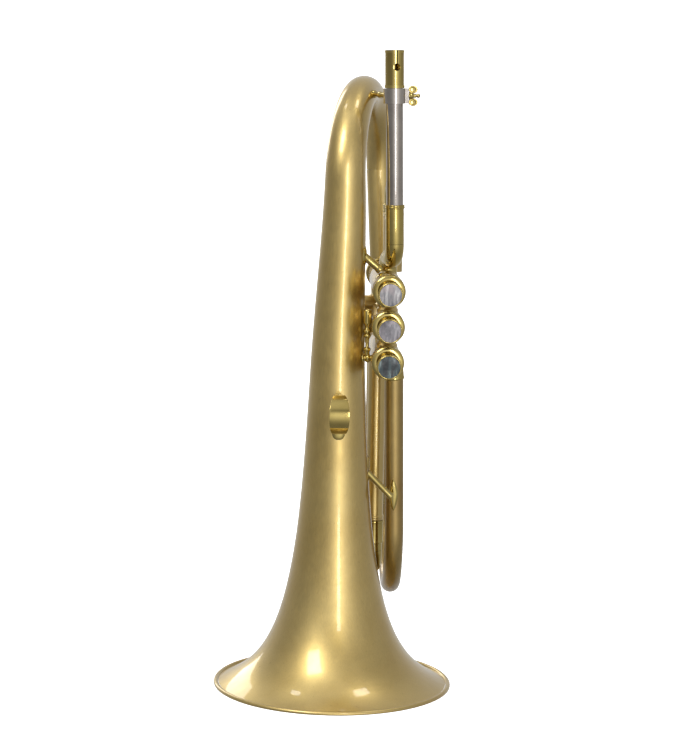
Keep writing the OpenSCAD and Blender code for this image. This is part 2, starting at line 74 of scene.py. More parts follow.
VALVE = {n: valve_place(n) for n in VALVES}
VALVE_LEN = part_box("bottom_cap_2")[1].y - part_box("top_cap_2")[0].y


def along(axis, at):
    """Matrix at a point with +Z along axis."""
    axis = Vector(axis).normalized()
    return Matrix.Translation(at) @ UP.rotation_difference(axis).to_matrix().to_4x4()


LEAD = along(LEAD_AXIS, LEAD_FOOT)

# ---------- mesh helpers ----------

HORN = "horn"
SHARP = math.radians(35)  # edges sharper than this keep their crease
CORNER = math.radians(20)  # outline corners sharper than this are rounded
CORNER_STEPS = 3

# the record's slot and the material drawn in it
Look = namedtuple("Look", "slot material")


def finish_mesh(name, bm, body, look, replaces=()):
    """Turns bm into a shaded piece that rides on body."""
    slot, material = look
    bmesh.ops.remove_doubles(bm, verts=bm.verts, dist=1e-7)
    bmesh.ops.recalc_face_normals(bm, faces=bm.faces)
    mesh = bpy.data.meshes.new(name)
    bm.to_mesh(mesh)
    bm.free()
    mesh.polygons.foreach_set("use_smooth", [True] * len(mesh.polygons))
    mesh.set_sharp_from_angle(angle=SHARP)
    piece = bpy.data.objects.new(name, mesh)
    bpy.context.scene.collection.objects.link(piece)
    mesh.materials.append(material)
    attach(piece, body)
    if replaces:
        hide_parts(*replaces)


def rounded(outline, r):
    """The closed outline with each corner sharper than CORNER rounded by about r."""
    points = [Vector(p) for p in outline]
    count = len(points)
    result = []
    for i, p in enumerate(points):
        a, b = points[i - 1], points[(i + 1) % count]
        back, ahead = a - p, b - p
        turn = math.pi - back.angle(ahead, math.pi)
        d = min(r, 0.45 * back.length, 0.45 * ahead.length)
        if turn < CORNER or d < 1e-7:
            result.append(p)
            continue
        start, end = p + back.normalized() * d, p + ahead.normalized() * d
        for k in range(CORNER_STEPS + 1):
            t = k / CORNER_STEPS
            result.append((1 - t) ** 2 * start + 2 * t * (1 - t) * p + t * t * end)
    return result


def add_revolve(bm, outline, place, segments=96, ripple=None):
    """Adds the closed outline of (radius, height) turned about place's Z axis."""
    rings = []
    for r, z in outline:
        ring = []
        for k in range(segments):
            a = TAU * k / segments
            rr = r + ripple(r, z, a) if ripple else r
            ring.append(bm.verts.new(place @ Vector((rr * math.cos(a), rr * math.sin(a), z))))
        rings.append(ring)
    count = len(rings)
    for i in range(count):
        a, b = rings[i], rings[(i + 1) % count]
        if outline[i][0] < 1e-9 and outline[(i + 1) % count][0] < 1e-9:
            continue
        for k in range(segments):
            j = (k + 1) % segments
            bm.faces.new((a[k], a[j], b[j], b[k]))


def in_metres(outline):
    return [Vector((a * MM, b * MM)) for a, b in outline]


def revolve(name, outline, place, body, look, replaces=(), r=0.25, segments=96, ripple=None):
    """A turned piece from an outline in millimetres, with its corners rounded by r."""
    bm = bmesh.new()
    points = in_metres(outline)
    add_revolve(bm, rounded(points, r * MM) if r else points, place, segments, ripple)
    finish_mesh(name, bm, body, look, replaces)


def frames_along(path, first_side):
    """Right and up vectors that don't twist along a path."""
    result = []
    side = Vector(first_side).normalized()
    for i, p in enumerate(path):
        ahead = path[min(i + 1, len(path) - 1)] - path[max(i - 1, 0)]
        ahead.normalize()
        side = (side - ahead * side.dot(ahead)).normalized()
        result.append((side, ahead.cross(side)))
    return result


def add_sweep(bm, path, section, first_side, capped=True):
    """Adds a closed section swept along path. section(t) gives its (side, up) points."""
    rings = []
    last = len(path) - 1
    for i, (p, (side, up)) in enumerate(zip(path, frames_along(path, first_side))):
        rings.append([bm.verts.new(p + side * u + up * v) for u, v in section(i / last)])
    count = len(rings[0])
    for a, b in zip(rings, rings[1:]):
        for k in range(count):
            j = (k + 1) % count
            bm.faces.new((a[k], a[j], b[j], b[k]))
    if capped:
        bm.faces.new(rings[0])
        bm.faces.new(rings[-1])
    return rings


def add_pipe(bm, path, outer, wall, first_side=(1, 0, 0), sides=96):
    """Adds a tube with a wall along path; outer(t) is its outer radius."""
    angles = [TAU * k / sides for k in range(sides)]

    def ring(r):
        return [(r * math.cos(a), r * math.sin(a)) for a in angles]

    out = add_sweep(bm, path, lambda t: ring(outer(t)), first_side, capped=False)
    ins = add_sweep(bm, path, lambda t: ring(outer(t) - wall), first_side, capped=False)
    for a, b in ((out[0], ins[0]), (out[-1], ins[-1])):
        for k in range(sides):
            j = (k + 1) % sides
            bm.faces.new((a[k], a[j], b[j], b[k]))


def arc(centre, start, towards, angle, steps):
    """Points around centre from start's direction, turning towards another direction."""
    arm = Vector(start) - Vector(centre)
    u = arm.normalized()
    v = Vector(towards).normalized()
    turns = [angle * k / steps for k in range(steps + 1)]
    return [Vector(centre) + arm.length * (u * math.cos(a) + v * math.sin(a)) for a in turns]


SADDLE_RINGS, SADDLE_SPOKES = 8, 72
SADDLE_SINK = 0.0006  # how far a saddle's underside reaches into the tube


def add_saddle(bm, centre, axis, radius, out, shape, thick):
    """Adds a plate that lies on a cylinder about axis.

    centre is the point on the cylinder's surface under the middle of the plate, and out is
    the way that surface faces. shape(angle) is the plate's half width, from around to along.
    """
    spokes = SADDLE_SPOKES
    axis = Vector(axis).normalized()
    out = Vector(out).normalized()
    foot = Vector(centre) - out * radius
    around = axis.cross(out)

    def at(s, h, lift):
        a = s / radius
        return foot + axis * h + (out * math.cos(a) + around * math.sin(a)) * (radius + lift)

    for side in (1, -1):
        last = None
        for i in range(SADDLE_RINGS + 1):
            f = i / SADDLE_RINGS
            lift = thick * (1 - f ** 4) if side == 1 else -SADDLE_SINK
            ring = []
            for k in range(spokes):
                a = TAU * k / spokes
                w = shape(a)
                ring.append(bm.verts.new(at(f * w * math.cos(a), f * w * math.sin(a), lift)))
            if last:
                for k in range(spokes):
                    j = (k + 1) % spokes
                    bm.faces.new((last[k], last[j], ring[j], ring[k]))
            last = ring
        if side == 1:
            top = last
    for k in range(spokes):
        j = (k + 1) % spokes
        bm.faces.new((top[k], top[j], last[j], last[k]))


def diamond(w, h, soft=1.4):
    """Outline of a plate with rounded points, half sizes w around and h along."""
    def shape(a):
        c, s = abs(math.cos(a)) / w, abs(math.sin(a)) / h
        return 1 / (c ** soft + s ** soft) ** (1 / soft)
    return shape


# ---------- materials ----------


def node_kit(name):
    """An empty material with one Principled shader on its output."""
    material = bpy.data.materials.new(name)
    material.use_nodes = True
    tree = material.node_tree
    tree.nodes.clear()
    out = tree.nodes.new("ShaderNodeOutputMaterial")
    bsdf = tree.nodes.new("ShaderNodeBsdfPrincipled")
    tree.links.new(bsdf.outputs[0], out.inputs[0])
    return material, tree, bsdf


def noise(tree, coords, scale, detail, rough, distortion=0.0):
    node = tree.nodes.new("ShaderNodeTexNoise")
    node.inputs["Scale"].default_value = scale
    node.inputs["Detail"].default_value = detail
    node.inputs["Roughness"].default_value = rough
    node.inputs["Distortion"].default_value = distortion
    tree.links.new(coords, node.inputs["Vector"])
    return node.outputs["Fac"]


def ranged(tree, value, low, high, to_low, to_high):
    node = tree.nodes.new("ShaderNodeMapRange")
    for key, v in (("From Min", low), ("From Max", high), ("To Min", to_low), ("To Max", to_high)):
        node.inputs[key].default_value = v
    tree.links.new(value, node.inputs["Value"])
    return node.outputs["Result"]


def mixed(tree, factor, a, b):
    node = tree.nodes.new("ShaderNodeMix")
    node.data_type = "RGBA"
    tree.links.new(factor, node.inputs[0])
    for key, v in ((6, a), (7, b)):
        if isinstance(v, tuple):
            node.inputs[key].default_value = (*v, 1)
        else:
            tree.links.new(v, node.inputs[key])
    return node.outputs[2]


def math_node(tree, op, a, b):
    node = tree.nodes.new("ShaderNodeMath")
    node.operation = op
    for key, v in ((0, a), (1, b)):
        if isinstance(v, (int, float)):
            node.inputs[key].default_value = v
        else:
            tree.links.new(v, node.inputs[key])
    return node.outputs[0]


def scaled_coords(tree, scale):
    coords = tree.nodes.new("ShaderNodeTexCoord")
    mapping = tree.nodes.new("ShaderNodeMapping")
    mapping.inputs["Scale"].default_value = scale
    tree.links.new(coords.outputs["Object"], mapping.inputs["Vector"])
    return mapping.outputs[0]


def set_bump(tree, bsdf, height, strength, distance=0.0002):
    bump = tree.nodes.new("ShaderNodeBump")
    bump.inputs["Strength"].default_value = strength
    bump.inputs["Distance"].default_value = distance
    tree.links.new(height, bump.inputs["Height"])
    tree.links.new(bump.outputs[0], bsdf.inputs["Normal"])


def metal(name, bright, dull, tarnish, rough, coat=0.0, coat_rough=0.03, brush=(1, 1, 1),
          brush_scale=900, brush_depth=0.05, spots=0.25, clouds=22):
    """Metal with a cloudy tone, tarnish in corners and freckles, brushing and handling marks."""
    material, tree, bsdf = node_kit(name)
    plain = scaled_coords(tree, (1, 1, 1))
    brushed = scaled_coords(tree, brush)
    cloud = noise(tree, plain, clouds, 4, 0.6, 0.4)
    grain = noise(tree, brushed, brush_scale, 3, 0.7)
    freckle = noise(tree, plain, 420, 3, 0.55)
    smudge = noise(tree, plain, 70, 5, 0.65, 1.2)
    tone = mixed(tree, ranged(tree, cloud, 0.35, 0.68, 0, 1), bright, dull)
    tone = mixed(tree, ranged(tree, freckle, 0.66, 0.74, 0, spots), tone, tarnish)
    shape = tree.nodes.new("ShaderNodeNewGeometry").outputs["Pointiness"]
    tone = mixed(tree, ranged(tree, shape, 0.475, 0.40, 0, 0.75), tone, tarnish)
    tone = mixed(tree, ranged(tree, shape, 0.53, 0.60, 0, 0.5), tone,
                 tuple(min(1.0, c * 1.12) for c in bright))
    shade = ranged(tree, grain, 0.3, 0.7, 0.93, 1.05)
    tone_node = tree.nodes.new("ShaderNodeVectorMath")
    tone_node.operation = "SCALE"
    tree.links.new(tone, tone_node.inputs[0])
    tree.links.new(shade, tone_node.inputs["Scale"])
    tree.links.new(tone_node.outputs[0], bsdf.inputs["Base Color"])
    spread = math_node(tree, "ADD", ranged(tree, smudge, 0.3, 0.75, -0.12, 0.22),
                       ranged(tree, grain, 0.3, 0.7, -0.08, 0.08))
    roughness = math_node(tree, "MULTIPLY", math_node(tree, "ADD", spread, 1.0), rough)
    tree.links.new(roughness, bsdf.inputs["Roughness"])
    height = math_node(tree, "ADD", grain, math_node(tree, "MULTIPLY", smudge, 0.35))
    set_bump(tree, bsdf, height, brush_depth)
    bsdf.inputs["Metallic"].default_value = 1.0
    bsdf.inputs["Coat Weight"].default_value = coat
    bsdf.inputs["Coat Roughness"].default_value = coat_rough
    bsdf.inputs["Coat IOR"].default_value = 1.5
    return material


def pearl_shell(name, dark, mid, light, turn, offset):
    """Mother of pearl: streaks of growth bands under a clear polish."""
    material, tree, bsdf = node_kit(name)
    coords = tree.nodes.new("ShaderNodeTexCoord")
    mapping = tree.nodes.new("ShaderNodeMapping")
    mapping.inputs["Location"].default_value = (offset, offset * 0.7, 0)
    mapping.inputs["Rotation"].default_value = (0, turn, 0)
    mapping.inputs["Scale"].default_value = (1.0, 1.0, 0.22)
    tree.links.new(coords.outputs["Object"], mapping.inputs["Vector"])
    plain = scaled_coords(tree, (1, 1, 1))
    bands = noise(tree, mapping.outputs[0], 300, 4, 0.6, 0.8)
    glow = noise(tree, plain, 160, 3, 0.5)
    ramp = tree.nodes.new("ShaderNodeValToRGB")
    stops = ramp.color_ramp.elements
    stops[0].position, stops[0].color = 0.36, (*dark, 1)
    stops[1].position, stops[1].color = 0.66, (*light, 1)
    stops.new(0.5).color = (*mid, 1)
    tree.links.new(bands, ramp.inputs["Fac"])
    pink = mixed(tree, ranged(tree, glow, 0.45, 0.7, 0, 0.3), ramp.outputs["Color"],
                 tuple(c * k for c, k in zip(light, (1.15, 0.85, 0.85))))
    tree.links.new(pink, bsdf.inputs["Base Color"])
    tree.links.new(ranged(tree, bands, 0.3, 0.7, 0.34, 0.20), bsdf.inputs["Roughness"])
    set_bump(tree, bsdf, bands, 0.08)
    bsdf.inputs["Specular IOR Level"].default_value = 0.3
    bsdf.inputs["Coat Weight"].default_value = 0.2
    bsdf.inputs["Coat Roughness"].default_value = 0.05
    return material


def felt_cloth(name):
    """Black wool felt with a fine fuzz and a few worn patches."""
    material, tree, bsdf = node_kit(name)
    plain = scaled_coords(tree, (1, 1, 1))
    fuzz = noise(tree, plain, 2600, 4, 0.75)
    patch = noise(tree, plain, 300, 3, 0.6)
    tone = mixed(tree, ranged(tree, fuzz, 0.3, 0.7, 0, 1),
                 (0.010, 0.009, 0.009), (0.045, 0.040, 0.038))
    tone = mixed(tree, ranged(tree, patch, 0.5, 0.8, 0, 0.4), tone, (0.09, 0.08, 0.07))
    tree.links.new(tone, bsdf.inputs["Base Color"])
    tree.links.new(ranged(tree, patch, 0.3, 0.7, 0.86, 1.0), bsdf.inputs["Roughness"])
    set_bump(tree, bsdf, fuzz, 0.6, 0.0003)
    bsdf.inputs["Sheen Weight"].default_value = 0.4
    bsdf.inputs["Sheen Roughness"].default_value = 0.5
    return material


SATIN = Look("satin_brass", metal(
    "satin_brass_lacquer", (0.68, 0.51, 0.19), (0.60, 0.43, 0.14), (0.32, 0.18, 0.06), 0.37,
    coat=1.0, coat_rough=0.05, brush=(1, 1, 0.12), brush_scale=1400, brush_depth=0.10))
# painted shade: a darker copy of the satin lacquer for the branch and front bow, standing in for the shade under
# the valves
SHADED_SATIN = Look("satin_brass", metal(
    "satin_brass_painted_shade", (0.44, 0.315, 0.105), (0.36, 0.235, 0.07), (0.20, 0.11, 0.04), 0.40,
    coat=0.8, coat_rough=0.06, brush=(1, 1, 0.12), brush_scale=1400, brush_depth=0.10))
POLISHED = Look("polished_brass", metal(
    "polished_brass", (0.58, 0.46, 0.17), (0.48, 0.37, 0.12), (0.26, 0.17, 0.05), 0.11,
    brush_scale=2200, brush_depth=0.03, spots=0.35, clouds=60))
NICKEL = Look("nickel_silver", metal(
    "nickel_silver", (0.50, 0.46, 0.42), (0.42, 0.38, 0.35), (0.22, 0.17, 0.12), 0.09,
    brush=(1, 1, 0.2), brush_scale=1800, brush_depth=0.03, spots=0.3, clouds=50))
MONEL = Look("piston_metal", metal(
    "piston_monel", (0.50, 0.47, 0.43), (0.42, 0.39, 0.35), (0.20, 0.16, 0.12), 0.24,
    brush=(0.2, 1, 0.2), brush_scale=2600, brush_depth=0.15, spots=0.2))
STEEL = Look("spring_steel", metal(
    "spring_steel_wire", (0.55, 0.55, 0.56), (0.45, 0.45, 0.46), (0.18, 0.14, 0.11), 0.28,
    brush_scale=3000, brush_depth=0.10, spots=0.4))
FELT = Look("black_felt", felt_cloth("black_felt_washer"))
PEARL = {n: Look("shell_inlay", pearl_shell(*spec)) for n, spec in zip(VALVES, (
    ("shell_pale", (0.08, 0.08, 0.09), (0.15, 0.145, 0.15), (0.30, 0.29, 0.29), 0.05, 0.013),
    ("shell_grey", (0.06, 0.055, 0.06), (0.105, 0.10, 0.11), (0.21, 0.20, 0.21), -0.5, 0.071),
    ("shell_blue", (0.01, 0.013, 0.016), (0.025, 0.038, 0.042), (0.12, 0.155, 0.15), 0.0, 0.137),
))}

# ---------- bell and main tubing ----------

# plain lengths are in millimetres; those multiplied by MM, and the points, are in metres
BELL_R = 76.2
BELL_H = 200
BOW_Z = 325
TAIL_SHIFT = 2.7
FLARE_DEPTH = 17.5
FLARE_POWER = 0.6
BULGE_FROM = 100
BULGE = 0.8
BELL_WALL = 0.8
LIP_Z = BELL_LOW.z / MM + 0.3
TUBE_WALL = 0.6
BRANCH_R = 6.1
BRANCH_TOP = Vector((36.6, 13, 197)) * MM
BRANCH_LEAN = math.radians(1.25)
BAND_TILT = math.radians(6)
FRONT_BOW_Z = 98.5 * MM
RETURN_Y = 102
RETURN_TOP = Vector((28.2, RETURN_Y, BOW_Z)) * MM
RETURN_TOP_R = 8.3
BRANCH_FOOT = Vector((BRANCH_TOP.x + (BRANCH_TOP.z - FRONT_BOW_Z) * math.tan(BRANCH_LEAN),
                      BRANCH_TOP.y, FRONT_BOW_Z))
RETURN_FOOT = Vector((BRANCH_FOOT.x + 0.4 * MM, RETURN_Y * MM, FRONT_BOW_Z))


def bell_radius(z):
    """Outer radius of the bell at height z, both in millimetres."""
    fullness = BULGE * max(0.0, math.sin(math.pi * (z - BULGE_FROM) / (BOW_Z - BULGE_FROM)))
    return BELL_R * (FLARE_DEPTH / (z + FLARE_DEPTH)) ** FLARE_POWER + fullness


def build_rim():
    """The rolled rim: a wire whose underside is flat where the horn stands on it."""
    wire_r, wire_z, steps = 1.5, 0.7, 40
    low = math.asin(-wire_z / wire_r)
    turns = [low + (math.pi - 2 * low) * i / steps for i in range(steps + 1)]
    section = [(BELL_R - wire_r + wire_r * math.cos(a), max(0.0, wire_z + wire_r * math.sin(a)))
               for a in turns]
    revolve("bell_rim_roll", section, Matrix(), HORN, SATIN, ["bell_rim_wire"], r=0, segments=192)


def tail_x(z):
    """How far the upper bell tube has drifted towards +X at height z, in millimetres."""
    t = max(0.0, (z - BELL_H) / (BOW_Z - BELL_H))
    return TAIL_SHIFT * t * t * (3 - 2 * t)


def build_bell_and_bow():
    """The bell, its upper tube and the rear bow, as one tapering skin with no step in it."""
    bell_steps, tail_steps, bow_steps = 150, 64, 96
    heights = [LIP_Z + (BELL_H - LIP_Z) * (i / bell_steps) ** 2.0 for i in range(bell_steps)]
    heights += [BELL_H + (BOW_Z - BELL_H) * i / tail_steps for i in range(tail_steps)]
    path = [Vector((tail_x(z), 0, z)) * MM for z in heights]
    radii = [bell_radius(z) for z in heights]
    start = Vector((TAIL_SHIFT, 0, BOW_Z)) * MM
    path += arc((start + RETURN_TOP) / 2, start, UP, math.pi, bow_steps)
    start_r = bell_radius(BOW_Z)
    radii += [start_r + (RETURN_TOP_R - start_r) * i / bow_steps for i in range(bow_steps + 1)]
    last = len(path) - 1
    bm = bmesh.new()
    add_pipe(bm, path, lambda t: radii[round(t * last)] * MM, BELL_WALL * MM, sides=192)
    finish_mesh("bell_and_bow_skin", bm, HORN, SATIN, ["bell", "rear_bow"])


def build_legs():
    """The return leg, and the front bow with valve 3's branch as one skin, each with its band."""
    axis = RETURN_TOP - RETURN_FOOT
    place = along(axis, RETURN_FOOT)
    length = axis.length / MM
    revolve("return_leg_tube", [(6.5, 0), (RETURN_TOP_R, length), (7.7, length), (5.9, 0)],
            place, HORN, SATIN, ["return_leg"], r=0.05)
    revolve("front_bow_band", band_outline(6.62, 7.3, 1, 11), place, HORN, POLISHED,
            ["front_bow_ferrule"])
    gap = RETURN_Y * MM - BRANCH_FOOT.y
    centre = Vector((BRANCH_FOOT.x, BRANCH_FOOT.y + gap / 2, FRONT_BOW_Z))
    path = [BRANCH_TOP.lerp(BRANCH_FOOT, k / 40) for k in range(40)]
    path += arc(centre, BRANCH_FOOT, -UP, math.pi, 96)
    bm = bmesh.new()
    add_pipe(bm, path, lambda t: BRANCH_R * MM, TUBE_WALL * MM)
    finish_mesh("front_bow_and_branch", bm, HORN, SHADED_SATIN, ["front_bow", "valve_3_branch"])
    place = Matrix.Translation(BRANCH_TOP) @ Matrix.Rotation(-BAND_TILT, 4, "Y")
    revolve("valve_3_branch_band",
            [(6.12, -0.6), (6.5, -0.6), (6.8, 0.1), (6.55, 1.0), (6.55, 6.6), (5.6, 6.6),
             (5.6, 0.05), (6.12, 0.05)],
            place, HORN, POLISHED, ["valve_3_branch_ferrule"])


def band_outline(inner, outer, low, high):
    """A ferrule with a raised bead at each end."""
    return [(inner, low), (outer, low), (outer + 0.12, low + 0.7), (outer - 0.05, low + 1.5),
            (outer - 0.05, high - 1.5), (outer + 0.12, high - 0.7), (outer, high), (inner, high)]


# ---------- leadpipe ----------

LEAD_LEAN = math.radians(1.3)
ELBOW_TURN = math.radians(8.8)
LEAD_SLEEVE_R = 5.8
LEAD_SLEEVE_LOW = 14.4
ELBOW_END = 2.5


def build_leadpipe():
    """The tuning pipe, its sleeve, and the elbow from the sleeve into valve 1's casing."""
    revolve("leadpipe_tube", [(4.3, 15.4), (5.3, 15.4), (5.3, 112), (4.3, 112)],
            LEAD, "leadpipe", NICKEL, ["leadpipe"], r=0.1)
    revolve("leadpipe_outer_sleeve",
            [(5.35, LEAD_SLEEVE_LOW), (LEAD_SLEEVE_R, LEAD_SLEEVE_LOW), (LEAD_SLEEVE_R, 38.5),
             (5.35, 38.5)],
            LEAD, HORN, POLISHED, ["leadpipe_sleeve"], r=0.1)
    revolve("leadpipe_sleeve_bead",
            [(5.82, 36.7), (6.1, 36.7), (6.35, 37.2), (6.35, 37.8), (6.1, 38.0), (6.3, 38.3),
             (6.15, 39.1), (5.45, 39.1), (5.45, 38.55), (5.82, 38.5)],
            LEAD, HORN, POLISHED, ["leadpipe_sleeve_ring"], r=0.12)
    # the elbow: a bend backwards, a short run, a bend down and a short end in the casing
    bend, run, port = 10 * MM, 4 * MM, 8 * MM
    start = Vector((0, 0, LEAD_SLEEVE_LOW * MM))
    forward = Vector((0, 1, 0))
    path = arc(start + forward * bend, start, -UP, math.pi / 2, 24)
    turn = path[-1] + forward * run
    path += [path[-1].lerp(turn, k / 4) for k in (1, 2, 3)]
    path += arc(turn - UP * port, turn, forward, math.pi / 2, 24)
    path.append(path[-1] - UP * ELBOW_END * MM)
    place = (Matrix.Translation(LEAD_FOOT) @ Matrix.Rotation(ELBOW_TURN, 4, "Z")
             @ Matrix.Rotation(-LEAD_LEAN, 4, "Y"))
    path = [place @ p for p in path]
    bm = bmesh.new()
    add_pipe(bm, path, lambda t: LEAD_SLEEVE_R * MM, TUBE_WALL * MM)
    finish_mesh("leadpipe_elbow_tube", bm, HORN, POLISHED, ["leadpipe_elbow"])


WING_OUT = 11.5  # from the leadpipe's axis to the middle of each wing
WING_HALF = 3.9  # from the screw's axis to the middle of each wing


def build_clamp():
    """The wing screw that stands out of the leadpipe's clamp collar."""
    screw_h = (SCREW_AT - LEAD_FOOT).length / MM
    out = Matrix.Rotation(math.pi / 2, 4, "Y")
    place = LEAD @ Matrix.Translation((0, 0, screw_h * MM)) @ out
    revolve("wing_screw_shank",
            [(0, 6.5), (1.25, 6.5), (1.25, 8.9), (2.4, 8.9), (2.4, 9.6), (1.9, 10.0), (2.1, 10.6),
             (1.7, 11.5), (1.25, 11.9), (1.2, 13.3), (0.95, 13.6)]
            + ball_end(14.8, 1.35) + [(0, 6.5)],
            place, "clamp_screw", POLISHED, ["wing_screw"], r=0.15, segments=48)
    bm = bmesh.new()
    for side in (-1, 1):
        wing = (LEAD @ Matrix.Translation((WING_OUT * MM, 0, (screw_h + side * WING_HALF) * MM))
                @ Matrix.Rotation(math.pi / 2, 4, "X") @ Matrix.Diagonal((1.12, 0.95, 1, 1)))
        outline = in_metres([(0, -0.32), (1.3, -0.34), (1.9, -0.6), (2.6, -0.5), (2.6, 0.5),
                             (1.9, 0.6), (1.3, 0.34), (0, 0.32)])
        add_revolve(bm, rounded(outline, 0.3 * MM), wing, 48)
    finish_mesh("wing_screw_wings", bm, "clamp_screw", POLISHED)


def ball_end(z, r):
    """Outline of a small ball on the end of a pin, in millimetres."""
    return [(r * math.sin(a), z - r * math.cos(a)) for a in
            [math.radians(d) for d in range(45, 181, 15)]]


# ---------- valves ----------

CASING_R = 9.3
KNURL_FROM, KNURL_TEETH, KNURL_DEPTH = 10.1, 72, 0.22


def knurl(low, high):
    """Ripple for a knurled band between two depths, in millimetres, on a cap's skirt."""
    def ripple(r, z, a):
        if r < KNURL_FROM * MM or not low * MM <= z <= high * MM:
            return 0.0
        return -KNURL_DEPTH * MM * (0.5 - 0.5 * math.cos(a * KNURL_TEETH))
    return ripple


def build_valves():
    end = VALVE_LEN / MM
    for n in VALVES:
        place = VALVE[n]
        body = f"valve_{n}"
        revolve(f"valve_casing_tube_{n}",
                [(8.45, 2.4), (CASING_R, 2.4), (CASING_R, end - 2.2), (8.45, end - 2.2)],
                place, HORN, SATIN, [f"valve_casing_{n}"], r=0.1)
        revolve(f"top_cap_turned_{n}",
                [(3.2, 1.4), (5.8, 1.4), (6.3, 0.4), (6.9, 0.02), (8.4, 0.1), (9.3, 0.4),
                 (10.0, 0.8), (10.25, 1.3), (10.25, 3.2), (9.95, 3.5), (9.9, 4.1), (10.2, 4.4),
                 (10.2, 4.7), (10.2, 10.4), (10.2, 10.8), (9.9, 11.1), (10.0, 11.6), (9.75, 12),
                 (9.32, 12), (9.32, 2.4), (3.2, 2.4)],
                place, HORN, POLISHED, [f"top_cap_{n}"], r=0.18, segments=288,
                ripple=knurl(4.5, 10.6))
        revolve(f"bottom_cap_turned_{n}",
                [(1.2, end - 8), (1.2, end + 0.9), (2.9, end + 1.6), (4.0, end + 1.0),
                 (4.3, end + 0.2), (6.2, end - 0.3), (8.6, end - 0.1), (9.3, end),
                 (10.05, end - 0.5), (10.25, end - 1.2), (10.25, end - 2.2),
                 (10.2, end - 2.6), (10.2, end - 8.8), (10.2, end - 9.1),
                 (9.9, end - 9.4), (9.9, end - 10), (9.32, end - 10), (9.32, end - 2.2),
                 (8.4, end - 2.2), (8.4, end - 3), (2.2, end - 3), (2.2, end - 8)],
                place, HORN, POLISHED, [f"bottom_cap_{n}"], r=0.18, segments=288,
                ripple=knurl(end - 8.9, end - 2.5))
        revolve(f"finger_button_turned_{n}",
                [(0, -17.2), (6.8, -17.2), (6.8, -18.2), (7.1, -18.35), (7.5, -18.2), (7.8, -17.6),
                 (7.8, -15.7), (7.5, -15.15), (6.4, -15.0), (3.0, -15.0), (3.0, -12.4),
                 (2.6, -11.8), (2.25, -11.8), (2.25, -15.2), (0, -15.2)],
                place, body, POLISHED, [f"finger_button_{n}"], r=0.2)
        turns = [math.radians(d) for d in range(0, 91, 9)]
        dome = [(6.78 * math.sin(a), -18.12 - 0.38 * (math.cos(a) ** 1.3)) for a in turns]
        revolve(f"pearl_inlay_{n}", dome + [(6.78, -17.25), (0, -17.25)],
                place, body, PEARL[n], [f"pearl_{n}"], r=0)
        revolve(f"felt_washer_{n}",
                [(3.02, -14.98), (5.4, -14.98), (5.65, -14.7), (5.65, -13.9), (5.4, -13.6),
                 (3.02, -13.6)],
                place, body, FELT, [f"stem_felt_{n}"], r=0.2, segments=64)


# ---------- slides ----------

SLIDE_SIDES = 80
SLIDE_ROUNDING = 0.12 * MM
SLEEVE_BORE, SLEEVE_R = 5.15, 5.75
CROOK_R, CROOK_LEG_R = 5.55, 5.1
REST_GAP = 0.3  # between a sleeve's end and the crook's ring at rest


def build_slide(n, foot, along_to, across, gap, length, ring_h, neck):
    """Two sleeves on the horn and the crook that slides in them.

    along_to is the way the crook pulls out, and across leads from the first leg to the second.
    """
    along_to, across = Vector(along_to), Vector(across)
    sleeves, crook = bmesh.new(), bmesh.new()
    bend_at = length + REST_GAP + ring_h + neck
    for side in (0, 1):
        start = Vector(foot) * MM + across * side * gap * MM
        place = along(along_to, start)
        outline = [(SLEEVE_BORE, 0), (SLEEVE_R, 0), (SLEEVE_R, length - 3.4), (6.15, length - 3.0),
                   (6.2, length - 1.6), (6.0, length - 1.2), (6.15, length - 0.7), (6.05, length),
                   (SLEEVE_BORE, length)]
        add_revolve(sleeves, rounded(in_metres(outline), SLIDE_ROUNDING), place, SLIDE_SIDES)
        outline = [(4.5, 5), (CROOK_LEG_R, 5), (CROOK_LEG_R, length + REST_GAP),
                   (6.1, length + REST_GAP), (6.3, length + 0.9), (6.3, length + 1.6),
                   (6.1, length + 2.0), (6.1, length + ring_h - 1.2), (6.3, length + ring_h - 0.8),
                   (6.3, length + ring_h - 0.1), (6.0, length + ring_h + 0.3),
                   (CROOK_R, length + ring_h + 0.5), (CROOK_R, bend_at), (4.5, bend_at)]
        add_revolve(crook, rounded(in_metres(outline), SLIDE_ROUNDING), place, SLIDE_SIDES)
    first = Vector(foot) * MM + along_to * bend_at * MM
    centre = first + across * gap * MM / 2
    add_pipe(crook, arc(centre, first, along_to, math.pi, 64), lambda t: CROOK_R * MM,
             TUBE_WALL * MM, along_to.cross(across), SLIDE_SIDES)
    finish_mesh(f"slide_{n}_sleeve_tubes", sleeves, HORN, SATIN, [f"slide_{n}_sleeves"])
    finish_mesh(f"slide_{n}_crook_tube", crook, f"slide_{n}", POLISHED, [f"slide_{n}_crook"])


def build_slides():
    build_slide(1, (35.8, 37, 263.3), (0, 0, 1), (0, 1, 0), 24, 36, 5.5, 2)
    build_slide(2, (26, 40, 228.5), (-1, 0, 0), (0, 0, 1), 13, 17.5, 5.5, 0.5)
    build_slide(3, (26.6, 34, 206.7), (0, 0, -1), (0, 1, 0), 24, 106, 15, 5)


KNUCKLE_DEPTHS = (20, 46, 84)  # from the top cap's face
SADDLE_R = 6.6  # flared end of a knuckle, on the casing


